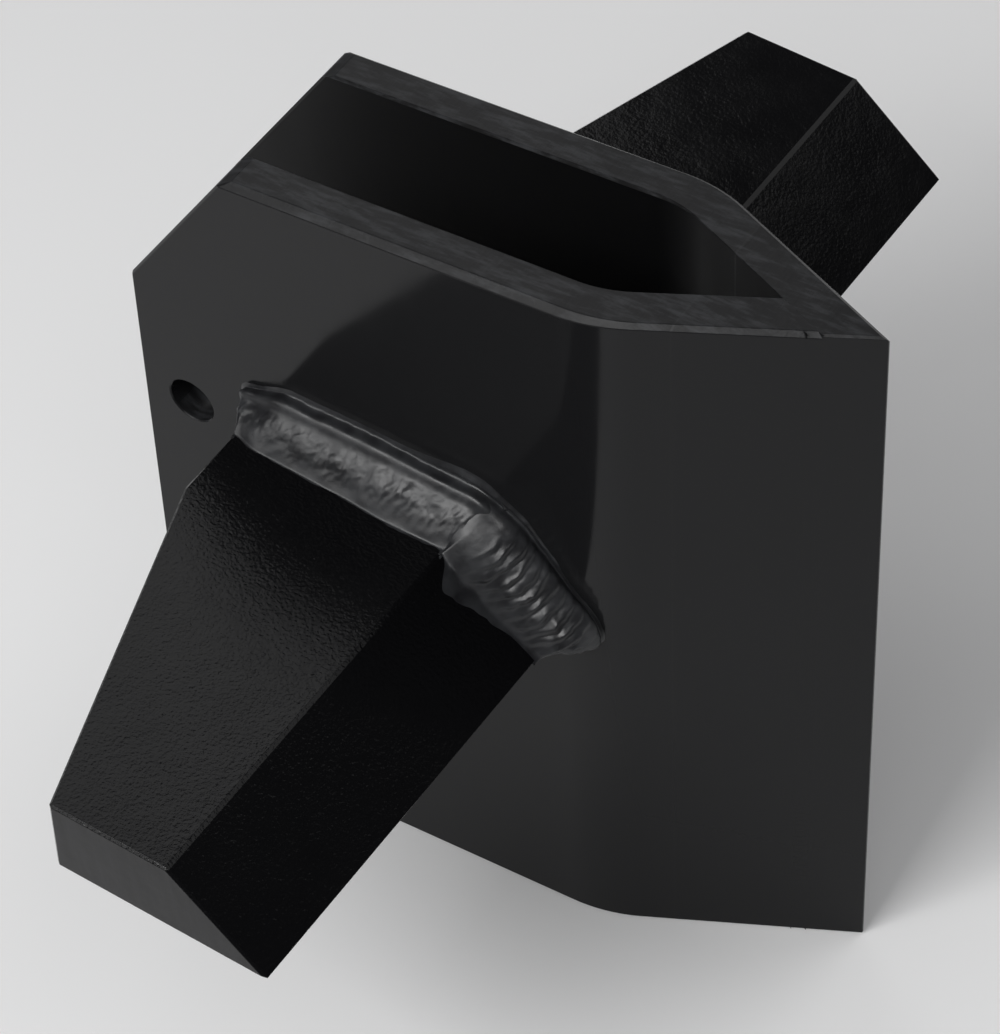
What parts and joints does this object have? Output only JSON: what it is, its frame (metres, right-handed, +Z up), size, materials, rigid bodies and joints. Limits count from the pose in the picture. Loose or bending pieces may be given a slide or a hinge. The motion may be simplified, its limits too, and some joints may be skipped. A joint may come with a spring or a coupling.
{
  "type": "winged ripper shank boot",
  "caption": "Fabricated steel boot: two bent plates form a V-nosed pocket for a shank, with a bevelled wing bar welded across each side and a cross hole for a retaining pin.",
  "frame": {"origin": "middle of the body's length and width, in the plane of the plates' lower edges", "axes": "+X forward to the nose, +Y to the left wing, +Z up"},
  "size_m": [0.237, 0.326, 0.24],
  "materials": {
    "plate_paint": "gloss black enamel over rolled and flame-cut plate",
    "wing_paint": "gloss black enamel with orange peel over bar stock",
    "weld_paint": "gloss black enamel over rippled weld bead"
  },
  "bodies": {
    "root": {"left_side_plate": "plate_paint", "right_side_plate": "plate_paint", "nose_weld": "plate_paint", "left_wing": "wing_paint", "right_wing": "wing_paint", "left_wing_top_weld": "weld_paint", "left_wing_front_weld": "weld_paint", "left_wing_under_weld": "weld_paint", "left_wing_rear_weld": "weld_paint", "right_wing_top_weld": "weld_paint", "right_wing_front_weld": "weld_paint", "right_wing_under_weld": "weld_paint", "right_wing_rear_weld": "weld_paint"}
  },
  "joints": []
}
